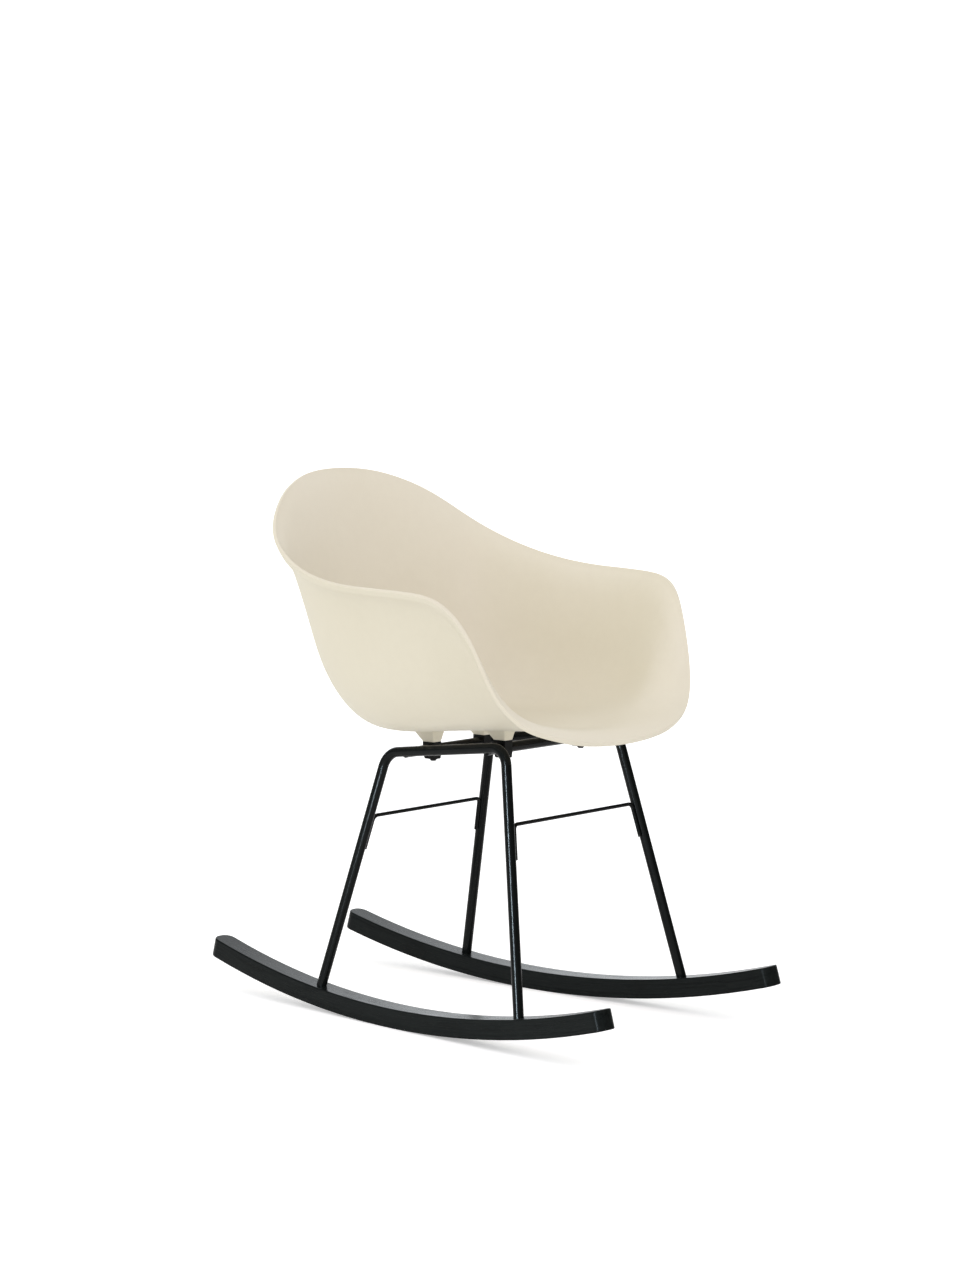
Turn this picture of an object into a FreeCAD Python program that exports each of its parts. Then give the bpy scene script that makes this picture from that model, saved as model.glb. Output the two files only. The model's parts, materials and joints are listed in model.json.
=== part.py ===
import FreeCAD, Part
import math
import os

# Moulded plastic rocking chair.
# Frame of the part: millimetres, +Z up, the chair faces -Y, +X is the
# sitter's left. The origin is on the floor, in the symmetry plane, at the
# middle of the rockers' length. The numbers below are measured from the line
# on which the two rockers touch the floor, which lies MID_SHIFT behind the
# origin, and the finished pieces are moved by that much at the end.

V = FreeCAD.Vector

# ------------------------------------------------------------------ sizes
MID_SHIFT = 15.1          # floor contact line to the middle of the rockers

# bent tube frame
TUBE_OD = 16.0            # side frames and cross tubes
TUBE_WALL = 1.5
BEND_REAR = 34.0          # centre-line bend radius over the rear leg
BEND_FRONT = 30.0         # centre-line bend radius over the front leg
FRAME_B = 189.85          # half distance of the side frames at the floor, y = 0
FRAME_TOE = 0.0629        # each side frame turns in towards the rear (rad)
FRAME_SPLAY = 0.1503      # inward lean per mm of height
REAR_U0, REAR_M = 175.53, 0.2489      # rear leg: u = REAR_U0 - REAR_M * z
FRONT_U0, FRONT_M = -280.18, 0.2181   # front leg: u = FRONT_U0 + FRONT_M * z
BAR_Z, BAR_U, BAR_SLOPE = 419.0, 44.05, 0.1194   # top bar rises to the front
LEG_IN_WOOD = 15.0        # depth of the leg in the rocker

REAR_CROSS_Y, REAR_CROSS_Z = 28.0, 418.5
FRONT_CROSS_Y, FRONT_CROSS_Z = -147.5, 438.5

# stretchers
ROD_D = 6.0
ROD_BEND = 9.0
REAR_ROD_Z, REAR_ROD_END_Z = 313.0, 259.5
FRONT_ROD_Z, FRONT_ROD_END_Z = 332.0, 280.0

# rockers
ROCK_R = 1595.0           # radius of the sole
ROCK_H = 30.8             # height of the section
ROCK_T = 37.5             # width of the section
ROCK_A = 162.8            # half distance of the inner faces at y = 0
ROCK_TOE = 0.0563         # rad
ROCK_REAR, ROCK_FRONT = 420.0, -452.4   # ends of the sole along its length
ROCK_END_ROUND = 16.0
ROCK_EDGE_ROUND = 2.0

# blocks, bolts, inserts
BLOCK_X, BLOCK_Y0, BLOCK_Y1 = 18.0, -9.0, 14.0          # the blocks reach further to the rear
BLOCK_LOW_X, BLOCK_LOW_Y0, BLOCK_LOW_Y1 = 16.0, -8.5, 11.0
BOSS_OUT, BOSS_REAR, BOSS_FRONT = 0.30, 0.97, 0.20        # flare of the pedestals per mm of height
REAR_MOUNT_X, FRONT_MOUNT_X = 60.0, 92.0
REAR_BLOCK_LOW, REAR_BLOCK_TOP = 403.0, 430.0
FRONT_BLOCK_LOW, FRONT_BLOCK_TOP = 423.5, 450.6
BOLT_D = 6.0
BOLT_HEAD_D, BOLT_HEAD_H = 9.6, 2.4
WASHER_D, WASHER_H = 12.5, 1.0
INSERT_D, INSERT_H = 8.6, 11.0

# shell
SHELL_T = 5.5
HALF = 32                 # columns of the surface net on each half
RIM_CTRL = [(0.0, 291.3, 849.8), (54.5, 291.3, 849.8), (123.3, 273.5, 835.0),
            (185.8, 243.1, 803.3), (235.2, 207.9, 759.1), (267.6, 154.1, 726.4),
            (289.3, 84.6, 702.2), (299.7, 7.8, 689.3), (299.4, -66.0, 687.0),
            (292.6, -129.1, 684.4), (281.5, -176.0, 679.3), (267.3, -206.6, 650.1),
            (253.2, -228.9, 598.7), (238.1, -250.9, 536.1), (204.2, -274.6, 486.7),
            (150.6, -299.2, 468.0), (76.3, -308.1, 454.4), (0.0, -308.1, 454.4)]
PAN_Y, PAN_Z = -38.55, 456.90           # middle of the seat (mid surface)
PAN_EXP = 0.85                        # squareness of the seat in plan
PAN_W, PAN_REAR, PAN_FRONT = 205.8, 182.35, 186.45
RISE_REAR, RISE_SIDE, RISE_FRONT = 26.66, 7.73, 3.40
RISE_SKEW = 20.05                     # the sides rise towards the front
PAN_ROW2 = 0.629
BULGE4_REAR, BULGE4_SIDE = 17.67, 21.89
BULGE5_REAR, BULGE5_SIDE = -0.11, -0.02
LIP_RISE = 10.0
WALL4, WALL5 = 0.986, 0.843           # where rows 4 and 5 lie between their neighbours
FLARE5, FLARE6, FLARE_W, FLARE_FRONT = 2.73, 10.85, -18.0, 0.35   # the wall turns outwards below the rim
# lip of the rim at stations from the back (column 0) to the front (column 32):
# its outer and inner face across the wall, and its shift along the wall
LIP_AT = [0, 5, 9, 13, 17, 20, 23, 26, 29, 32]
LIP_OUT = [3.47, 3.48, 1.72, 3.47, 3.80, 3.68, 1.27, 3.66, 4.39, 5.34]
LIP_IN = [-2.13, -2.32, -4.48, -4.03, -4.40, -3.82, -4.83, -2.64, -3.21, -2.86]
LIP_ALONG = [-1.66, -2.16, -2.78, -2.28, -2.37, -3.45, -2.31, -2.67, -4.80, -0.52]


# ------------------------------------------------------------------ helpers
def add(a, b, k=1.0):
    return (a[0] + k * b[0], a[1] + k * b[1], a[2] + k * b[2])


def sub(a, b):
    return (a[0] - b[0], a[1] - b[1], a[2] - b[2])


def cross(a, b):
    return (a[1] * b[2] - a[2] * b[1], a[2] * b[0] - a[0] * b[2], a[0] * b[1] - a[1] * b[0])


def unit(a):
    n = math.sqrt(a[0] ** 2 + a[1] ** 2 + a[2] ** 2) or 1.0
    return (a[0] / n, a[1] / n, a[2] / n)


def vec(a):
    return V(a[0], a[1], a[2])


def basis(knots, n, p, x):
    """all n B-spline basis functions of degree p at x"""
    b = [0.0] * (len(knots) - 1)
    last = max(i for i in range(len(knots) - 1) if knots[i] < knots[i + 1])
    for i in range(len(knots) - 1):
        if knots[i] <= x < knots[i + 1] or (x >= knots[-1] and i == last):
            b[i] = 1.0
    for d in range(1, p + 1):
        for i in range(len(knots) - 1 - d):
            a = knots[i + d] - knots[i]
            c = knots[i + d + 1] - knots[i + 1]
            v = 0.0
            if a > 0:
                v += (x - knots[i]) / a * b[i]
            if c > 0:
                v += (knots[i + d + 1] - x) / c * b[i + 1]
            b[i] = v
    return b[:n]


def solve_cyclic(points):
    """control points of the periodic cubic that passes through points"""
    n = len(points)
    c = [tuple(p) for p in points]
    for _ in range(60):
        c = [tuple((6.0 * points[i][k] - c[(i - 1) % n][k] - c[(i + 1) % n][k]) / 4.0
                   for k in range(3)) for i in range(n)]
    return c


# ------------------------------------------------------------------ shell net
def rim_points():
    n = len(RIM_CTRL)
    knots = [0.0] * 3 + [i / (n - 3.0) for i in range(n - 2)] + [1.0] * 3
    out = []
    for i in range(HALF + 1):
        b = basis(knots, n, 3, i / float(HALF))
        out.append(tuple(sum(b[j] * RIM_CTRL[j][k] for j in range(n)) for k in range(3)))
    return out


def spow(v, e):
    return math.copysign(abs(v) ** e, v) if v else 0.0


def half_net():
    """rows of seven control points from the middle of the seat to the rim"""
    rim = rim_points()
    o = (0.0, PAN_Y, PAN_Z)
    net = []
    for i in range(HALF + 1):
        th = math.pi * i / HALF
        sx = spow(max(math.sin(th), 0.0), PAN_EXP)
        cy = spow(math.cos(th), PAN_EXP) if abs(math.cos(th)) > 1e-12 else 0.0
        length = PAN_REAR if cy > 0 else PAN_FRONT
        rear, front = max(cy, 0.0), max(-cy, 0.0)
        f = (PAN_W * sx, PAN_Y + length * cy,
             PAN_Z + RISE_REAR * rear ** 2 + RISE_SIDE * sx ** 2 + RISE_FRONT * front ** 2
             - RISE_SKEW * sx * cy)
        r = rim[i]
        d = sub(r, f)
        nb = unit((f[0] / PAN_W ** 2, (f[1] - PAN_Y) / length ** 2, 0.0))
        wall = min(max(d[2] / 250.0, 0.0), 1.4)
        b4 = (BULGE4_REAR * rear ** 2 + BULGE4_SIDE * sx ** 2) * wall
        b5 = (BULGE5_REAR * rear ** 2 + BULGE5_SIDE * sx ** 2) * wall
        p1 = add(o, sub(f, o), 0.30)
        p2 = add(o, sub(f, o), 0.66)
        p4 = add(add(f, d, 0.30), nb, b4)
        p5 = add(add(f, d, 0.68), nb, b5)
        row = [o, (p1[0], p1[1], PAN_Z), (p2[0], p2[1], PAN_Z + (f[2] - PAN_Z) * PAN_ROW2), f,
               (p4[0], p4[1], p4[2] + LIP_RISE * 0.6 * front ** 2),
               (p5[0], p5[1], p5[2] + LIP_RISE * front ** 2), r]
        if i in (0, HALF):
            row = [(0.0, q[1], q[2]) for q in row]
        net.append(row)
    return net


def full_net():
    h = half_net()
    return h + [[(-q[0], q[1], q[2]) for q in h[i]] for i in range(HALF - 1, 0, -1)]


NCOL = 2 * HALF
K7 = [0.0] * 4 + [0.25, 0.5, 0.75] + [1.0] * 4
K8 = [0.0] * 4 + [0.25, 0.5, 0.75, 0.92] + [1.0] * 4
NET = full_net()
_rim = solve_cyclic([row[6] for row in NET])
for _i in range(NCOL):
    NET[_i][6] = _rim[_i]


def surf(col, r, net, knots):
    """point of a net of columns at a column position and 0..1 from seat to rim"""
    i = int(math.floor(col))
    t = col - i
    w = ((1 - t) ** 3 / 6.0, (3 * t ** 3 - 6 * t ** 2 + 4) / 6.0,
         (-3 * t ** 3 + 3 * t ** 2 + 3 * t + 1) / 6.0, t ** 3 / 6.0)
    m = len(net[0])
    b = basis(knots, m, 3, r)
    p = [0.0, 0.0, 0.0]
    for k in range(4):
        row = net[(i - 1 + k) % NCOL]
        for j in range(m):
            c = w[k] * b[j]
            if c:
                for a in range(3):
                    p[a] += c * row[j][a]
    return tuple(p)


def frame_at(col, r, net, knots):
    """outward normal and direction towards the rim"""
    if r < 0.02:
        return (0.0, 0.0, -1.0), None
    r0, r1 = max(r - 0.004, 0.0), min(r + 0.004, 1.0)
    dw = sub(surf(col, r1, net, knots), surf(col, r0, net, knots))
    dc = sub(surf(col + 0.02, r, net, knots), surf(col - 0.02, r, net, knots))
    return unit(cross(dw, dc)), unit(dw)


def station(values, i):
    """value at column i, blended between the stations of the lip"""
    i = min(i, NCOL - i)
    for k in range(len(LIP_AT) - 1):
        if i <= LIP_AT[k + 1]:
            t = (i - LIP_AT[k]) / float(LIP_AT[k + 1] - LIP_AT[k])
            t = t * t * (3 - 2 * t)
            return values[k] + (values[k + 1] - values[k]) * t
    return values[-1]


def lip_profile(a, o, w):
    """section of the lip: inner face a, outer face o, outer face of the wall w"""
    h = o - w
    return [(a, 1.0), (a, 2.6), (a + 0.1, 4.3), (a + 1.7, 4.7), ((a + o) / 2, 4.8), (o - 1.9, 4.7), (o - 0.3, 4.3),
            (o, 2.6), (o - 0.02 * h, -1.0), (o - 0.05 * h, -3.8), (w + 0.824 * h, -5.3), (w + 0.407 * h, -6.0),
            (w + 0.077 * h, -6.9), (w, -8.8)]


RIM_LINE = [surf(float(i), 1.0, NET, K7) for i in range(NCOL)]
RIM_FRAME = [frame_at(float(i), 1.0, NET, K7) for i in range(NCOL)]
LIP = []
for _i in range(NCOL):
    _a, _o = station(LIP_IN, _i), station(LIP_OUT, _i)
    LIP.append(lip_profile(_a, _o, _a + SHELL_T + 0.15))
ROWS = len(LIP[0])


def rim_row(ends):
    """control row through the rim line moved by (across, along) in each column"""
    pts = []
    for i in range(NCOL):
        n, w = RIM_FRAME[i]
        pts.append(add(add(RIM_LINE[i], n, ends[i][0]), w, ends[i][1] + station(LIP_ALONG, i)))
    return solve_cyclic(pts)


def middle_net():
    """eight rows of the middle surface, which flares towards the rim"""
    mid = [LIP[i][0][0] + SHELL_T / 2 for i in range(NCOL)]
    last = rim_row([(m, -3.0) for m in mid])
    net = []
    for i in range(NCOL):
        th = math.pi * min(i, NCOL - i) / HALF
        front = max(-spow(math.cos(th), PAN_EXP), 0.0) if abs(math.cos(th)) > 1e-12 else 0.0
        f = 1.0 - (1.0 - FLARE_FRONT) * front ** 2
        b = NET[i]
        n, w = RIM_FRAME[i]
        p4 = add(b[3], sub(b[4], b[3]), WALL4)
        p5 = add(add(b[4], sub(b[5], b[4]), WALL5), n, -FLARE5 * f)
        p6 = add(add(RIM_LINE[i], w, FLARE_W + station(LIP_ALONG, i)), n, mid[i] + 2.35 - FLARE6 * f)
        net.append([b[0], b[1], b[2], b[3], p4, p5, p6, last[i]])
    return net


MIDDLE = middle_net()
GREV = [sum(K8[j + 1:j + 4]) / 3.0 for j in range(8)]


def offset_rows(dist, k):
    """control rows moved along the outward normal; k is the lip point on which they end"""
    rows = []
    for j in range(7):
        rows.append([add(MIDDLE[i][j], frame_at(float(i), GREV[j] if j else 0.0, MIDDLE, K8)[0], dist)
                     for i in range(NCOL)])
    rows.append(rim_row([LIP[i][k] for i in range(NCOL)]))
    return rows


def spline_face(rows, uknots, umults):
    s = Part.BSplineSurface()
    poles = [[vec(p) for p in row] for row in rows]
    vk = [float(i) for i in range(NCOL + 1)]
    s.buildFromPolesMultsKnots(poles, umults, [1] * (NCOL + 1), uknots, vk, False, True, 3, 3)
    return s.toShape()


def shell_solid():
    uk, um = [0, 0.25, 0.5, 0.75, 0.92, 1.0], [4, 1, 1, 1, 1, 4]
    inner = spline_face(offset_rows(-SHELL_T / 2, 0), uk, um)
    outer = spline_face(offset_rows(SHELL_T / 2, ROWS - 1), uk, um)
    rim = spline_face([rim_row([LIP[i][k] for i in range(NCOL)]) for k in range(ROWS)],
                      [i / (ROWS - 3.0) for i in range(ROWS - 2)], [4] + [1] * (ROWS - 4) + [4])
    sh = Part.makeShell([inner, rim, outer])
    sh.sewShape(0.01)
    if sh.ShapeType != "Shell":
        sh = sh.Shells[0]
    so = Part.makeSolid(sh)
    if so.Volume < 0:
        so.reverse()
    return so


def mid_height(x, y):
    """height of the seat's mid surface over a point of the seat pan"""
    best = None
    for i in range(0, NCOL):
        for j in range(1, 12):
            p = surf(float(i), j * 0.05, MIDDLE, K8)
            d = (p[0] - x) ** 2 + (p[1] - y) ** 2
            if best is None or d < best[0]:
                best = (d, float(i), j * 0.05)
    _, c, r = best
    for _ in range(12):
        p = surf(c, r, MIDDLE, K8)
        pc = sub(surf(c + 0.01, r, MIDDLE, K8), surf(c - 0.01, r, MIDDLE, K8))
        pr = sub(surf(c, r + 0.001, MIDDLE, K8), surf(c, r - 0.001, MIDDLE, K8))
        a, b = pc[0] / 0.02, pr[0] / 0.002
        e, f = pc[1] / 0.02, pr[1] / 0.002
        det = a * f - b * e
        if abs(det) < 1e-9:
            break
        dx, dy = x - p[0], y - p[1]
        c += (dx * f - b * dy) / det
        r = min(max(r + (a * dy - e * dx) / det, 0.02), 0.95)
    return surf(c, r, MIDDLE, K8)[2]


# ------------------------------------------------------------------ frame
def side_axes(s, toe):
    return ((-s * math.sin(toe), math.cos(toe), 0.0), (s * math.cos(toe), math.sin(toe), 0.0))


def frame_point(s, u, z, off=0.0):
    """point of a side frame's plane; off moves it outwards"""
    e, n = side_axes(s, FRAME_TOE)
    p = add((s * FRAME_B, 0.0, z), e, u)
    return add(p, n, off - FRAME_SPLAY * z)


def leg_u(which, z):
    return REAR_U0 - REAR_M * z if which == "rear" else FRONT_U0 + FRONT_M * z


def leg_point(s, which, z):
    return frame_point(s, leg_u(which, z), z)


def rounded_wire(points, radii):
    """straight runs joined by tangent arcs"""
    edges = []
    start = points[0]
    for k in range(1, len(points) - 1):
        a, b, c = points[k - 1], points[k], points[k + 1]
        d1, d2 = unit(sub(a, b)), unit(sub(c, b))
        dot = sum(d1[i] * d2[i] for i in range(3))
        half = math.acos(max(-1.0, min(1.0, dot))) / 2.0
        r = radii[k - 1]
        t = r / math.tan(half)
        p1, p2 = add(b, d1, t), add(b, d2, t)
        bis = unit(add(d1, d2))
        mid = add(b, bis, r / math.sin(half) - r)
        edges.append(Part.LineSegment(vec(start), vec(p1)).toShape())
        edges.append(Part.Arc(vec(p1), vec(mid), vec(p2)).toShape())
        start = p2
    edges.append(Part.LineSegment(vec(start), vec(points[-1])).toShape())
    return Part.Wire(edges)


def pipe(wire, points, radius):
    d = unit(sub(points[1], points[0]))
    circ = Part.Wire([Part.Circle(vec(points[0]), vec(d), radius).toShape()])
    return wire.makePipeShell([circ], True, True)


def rocker_top_z(u):
    return ROCK_R - math.sqrt((ROCK_R - ROCK_H) ** 2 - u * u)


def foot_axis(s, which):
    """point where the leg's axis meets the top of the rocker, and the leg's direction (up)"""
    z = 40.0
    for _ in range(20):
        p = leg_point(s, which, z)
        e, n = side_axes(s, ROCK_TOE)
        u = p[0] * e[0] + p[1] * e[1] - s * ROCK_A * e[0]
        z = rocker_top_z(u)
    p = leg_point(s, which, z)
    q = leg_point(s, which, z + 100.0)
    return p, unit(sub(q, p))


def bar_corner(which):
    """u and z where the top bar's axis meets a leg's axis"""
    z = BAR_Z
    for _ in range(60):
        z = BAR_Z + (BAR_U - leg_u(which, z)) * BAR_SLOPE
    return leg_u(which, z), z


def frame_path(s):
    pts = []
    p, d = foot_axis(s, "rear")
    pts.append(add(p, d, -LEG_IN_WOOD))
    u, z = bar_corner("rear")
    pts.append(frame_point(s, u, z))
    u, z = bar_corner("front")
    pts.append(frame_point(s, u, z))
    p, d = foot_axis(s, "front")
    pts.append(add(p, d, -LEG_IN_WOOD))
    return pts


def side_frame(s, radius):
    pts = frame_path(s)
    w = rounded_wire(pts, [BEND_REAR, BEND_FRONT])
    return pipe(w, pts, radius)


def cross_tube(y, z, frames_outer, holes):
    # each end reaches the side frame's axis and is coped round its tube
    reach = 120.0
    for _ in range(20):
        u = (y + FRAME_SPLAY * z * math.sin(FRAME_TOE)) / math.cos(FRAME_TOE)
        reach = frame_point(1, u, BAR_Z + (BAR_U - u) * BAR_SLOPE)[0]
    a = V(-reach, y, z)
    tube = Part.makeCylinder(TUBE_OD / 2, 2 * reach, a, V(1, 0, 0))
    tube = tube.cut(Part.makeCylinder(TUBE_OD / 2 - TUBE_WALL, 2 * reach, a, V(1, 0, 0)))
    for f in frames_outer:
        tube = tube.cut(f)
    tube = max(tube.Solids, key=lambda q: q.Volume)
    for x in holes:
        tube = tube.cut(Part.makeCylinder(BOLT_D / 2 + 0.2, 40, V(x, y, z - 20), V(0, 0, 1)))
    return tube


def stretcher(which, z, z_end):
    pts = []
    for s, order in ((-1, (z_end, z)), (1, (z, z_end))):
        for zz in order:
            d = unit(sub(leg_point(s, which, zz + 10.0), leg_point(s, which, zz)))
            side = unit(add((-s, 0.0, 0.0), d, -(-s * d[0])))
            off = (TUBE_OD + ROD_D) / 2 + 0.05
            k = (zz - side[2] * off)          # the rod's own height is zz
            pts.append(add(leg_point(s, which, k), side, off))
    w = rounded_wire(pts, [ROD_BEND, ROD_BEND])
    return pipe(w, pts, ROD_D / 2)


# ------------------------------------------------------------------ rockers
def rocker(s):
    e, n = side_axes(s, ROCK_TOE)
    o = (s * ROCK_A, 0.0, 0.0)

    def pt(u, z, w=0.0):
        return vec(add(add(add(o, e, u), (0.0, 0.0, z)), n, w))

    r0, r1 = ROCK_R, ROCK_R - ROCK_H
    a0, a1 = math.asin(ROCK_FRONT / r0), math.asin(ROCK_REAR / r0)
    am = (a0 + a1) / 2

    def on(r, a):
        return pt(r * math.sin(a), ROCK_R - r * math.cos(a))

    edges = [Part.Arc(on(r0, a0), on(r0, am), on(r0, a1)).toShape(),
             Part.LineSegment(on(r0, a1), on(r1, a1)).toShape(),
             Part.Arc(on(r1, a1), on(r1, am), on(r1, a0)).toShape(),
             Part.LineSegment(on(r1, a0), on(r0, a0)).toShape()]
    face = Part.Face(Part.Wire(edges))
    body = face.extrude(vec(n) * ROCK_T)
    # rounded ends: the four edges across the section's height at the two ends
    ends = [ed for ed in body.Edges if abs(ed.Length - ROCK_H) < 0.01]
    body = body.makeFillet(ROCK_END_ROUND, ends)
    longs = [ed for ed in body.Edges if ed.Length > 600]
    body = body.makeFillet(ROCK_EDGE_ROUND, longs)
    for which in ("rear", "front"):
        p, d = foot_axis(s, which)
        low = add(p, d, -LEG_IN_WOOD)
        hole = Part.makeCylinder(TUBE_OD / 2 + 0.05, LEG_IN_WOOD + 30, vec(low), vec(d))
        thru = Part.makeCylinder(BOLT_D / 2 + 0.3, 80, vec(add(p, d, -60)), vec(d))
        body = body.cut(hole).cut(thru)
        c, length = screw_seat(s, which)
        body = body.cut(Part.makeCylinder(6.5, 40, vec(add(c, d, -40)), vec(d)))
    return body


def screw_seat(s, which):
    """seat of the screw head: 6 mm above the sole along the leg's axis"""
    p, d = foot_axis(s, which)
    e, n = side_axes(s, ROCK_TOE)
    t = 0.0
    for _ in range(40):
        q = add(p, d, -t)
        u = (q[0] - s * ROCK_A) * e[0] + q[1] * e[1]
        zs = ROCK_R - math.sqrt(ROCK_R ** 2 - u * u)
        t += (q[2] - zs) * 0.9
    return add(p, d, -(t - 6.5)), t


# ------------------------------------------------------------------ blocks
def rect(x, y, z, x0, x1, y0, y1):
    pts = [V(x + x0, y + y0, z), V(x + x1, y + y0, z), V(x + x1, y + y1, z), V(x + x0, y + y1, z)]
    return Part.makePolygon(pts + [pts[0]])


def mount_block(x, y, zt, z0, z1):
    low = rect(x, y, z0, -BLOCK_LOW_X / 2, BLOCK_LOW_X / 2, BLOCK_LOW_Y0, BLOCK_LOW_Y1)
    mid = rect(x, y, z0 + 9.0, -BLOCK_X / 2, BLOCK_X / 2, BLOCK_Y0, BLOCK_Y1)
    b = Part.makeLoft([low, mid], True, True)
    b = b.fuse(Part.makeBox(BLOCK_X, BLOCK_Y1 - BLOCK_Y0, z1 - z0 - 9.0, V(x - BLOCK_X / 2, y + BLOCK_Y0, z0 + 9.0)))
    b = b.removeSplitter()
    b = b.cut(Part.makeCylinder(TUBE_OD / 2 + 0.05, 60, V(x - 30, y, zt), V(1, 0, 0)))
    b = b.cut(Part.makeCylinder(BOLT_D / 2 + 0.2, 80, V(x, y, z0 - 20), V(0, 0, 1)))
    return b


def boss(x, y, z0):
    """tapered pedestal under the seat, wide at the top, with its longest flare to the rear"""
    hx = BLOCK_X / 2
    low = [(-hx, BLOCK_Y0), (hx, BLOCK_Y0), (hx, BLOCK_Y1), (-hx, BLOCK_Y1)]
    flare = [(-BOSS_OUT, -BOSS_FRONT), (BOSS_OUT, -BOSS_FRONT), (BOSS_OUT, BOSS_REAR), (-BOSS_OUT, BOSS_REAR)]
    bottom = [V(x + a, y + b, z0) for a, b in low]
    zc = mid_height(x, y + 5)
    # plane through the shell's thickness above the pedestal
    h0 = zc - z0
    hs = []
    for (a, b), (fa, fb) in zip(low, flare):
        px, py = x + a + fa * h0, y + b + fb * h0
        hs.append((px, py, mid_height(px, py)))
    mx, my, mz = (sum(h[k] for h in hs) / 4.0 for k in range(3))
    gx = sum((h[0] - mx) * (h[2] - mz) for h in hs) / sum((h[0] - mx) ** 2 for h in hs)
    gy = sum((h[1] - my) * (h[2] - mz) for h in hs) / sum((h[1] - my) ** 2 for h in hs)
    base = (mz + mid_height(mx, my)) / 2.0
    up = []
    for (a, b), (fa, fb) in zip(low, flare):
        h = h0
        for _ in range(30):
            px, py = x + a + fa * h, y + b + fb * h
            h = base + gx * (px - mx) + gy * (py - my) - z0
        up.append(V(x + a + fa * h, y + b + fb * h, z0 + h))
    w0 = Part.makePolygon(bottom + [bottom[0]])
    w1 = Part.makePolygon(up + [up[0]])
    return Part.makeLoft([w0, w1], True, True)


def bolt(x, y, z0, z1):
    """button head below z0, shank up to z1"""
    zh = z0 - WASHER_H
    head = Part.makeCylinder(BOLT_HEAD_D / 2, BOLT_HEAD_H, V(x, y, zh - BOLT_HEAD_H), V(0, 0, 1))
    head = head.makeFillet(1.4, [e for e in head.Edges if abs(e.BoundBox.ZMax - (zh - BOLT_HEAD_H)) < 1e-3 and e.Length > 10])
    hexa = [V(x + 2.3 * math.cos(math.pi / 3 * k), y + 2.3 * math.sin(math.pi / 3 * k), zh - BOLT_HEAD_H - 1) for k in range(6)]
    sock = Part.Face(Part.makePolygon(hexa + [hexa[0]])).extrude(V(0, 0, 2.7))
    shank = Part.makeCylinder(BOLT_D / 2, z1 - zh, V(x, y, zh), V(0, 0, 1))
    return head.cut(sock).fuse(shank).removeSplitter()


def washer(x, y, z0):
    w = Part.makeCylinder(WASHER_D / 2, WASHER_H, V(x, y, z0 - WASHER_H), V(0, 0, 1))
    return w.cut(Part.makeCylinder(BOLT_D / 2 + 0.2, 10, V(x, y, z0 - 5), V(0, 0, 1)))


def insert(x, y, z0):
    c = Part.makeCylinder(INSERT_D / 2, INSERT_H, V(x, y, z0 + 0.3), V(0, 0, 1))
    g = Part.makeTorus(INSERT_D / 2 + 0.2, 0.6, V(x, y, z0 + 5.8), V(0, 0, 1))
    return c.cut(g).cut(Part.makeCylinder(BOLT_D / 2 + 0.05, 40, V(x, y, z0 - 5), V(0, 0, 1)))


def plug(s, which):
    """threaded plug pressed into the lower end of a leg"""
    p, d = foot_axis(s, which)
    a = add(p, d, -LEG_IN_WOOD + 0.5)
    c = Part.makeCylinder(TUBE_OD / 2 - TUBE_WALL - 0.03, 20, vec(a), vec(d))
    return c.cut(Part.makeCylinder(BOLT_D / 2 + 0.05, 60, vec(add(a, d, -10)), vec(d)))


def rocker_screw(s, which):
    p, d = foot_axis(s, which)
    c, t = screw_seat(s, which)
    head = Part.makeCylinder(5.5, 4.0, vec(add(c, d, -4.0)), vec(d))
    sock_c = add(c, d, -4.5)
    e, n = side_axes(s, ROCK_TOE)
    ax = unit(cross(d, n))
    bx = unit(cross(d, ax))
    hexa = [vec(add(add(sock_c, ax, 2.8 * math.cos(math.pi / 3 * k)), bx, 2.8 * math.sin(math.pi / 3 * k))) for k in range(6)]
    sock = Part.Face(Part.makePolygon(hexa + [hexa[0]])).extrude(vec(d) * 2.8)
    length = (t - 6.5 - LEG_IN_WOOD) + 16.0
    shank = Part.makeCylinder(BOLT_D / 2, length, vec(c), vec(d))
    return head.cut(sock).fuse(shank).removeSplitter()


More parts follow.
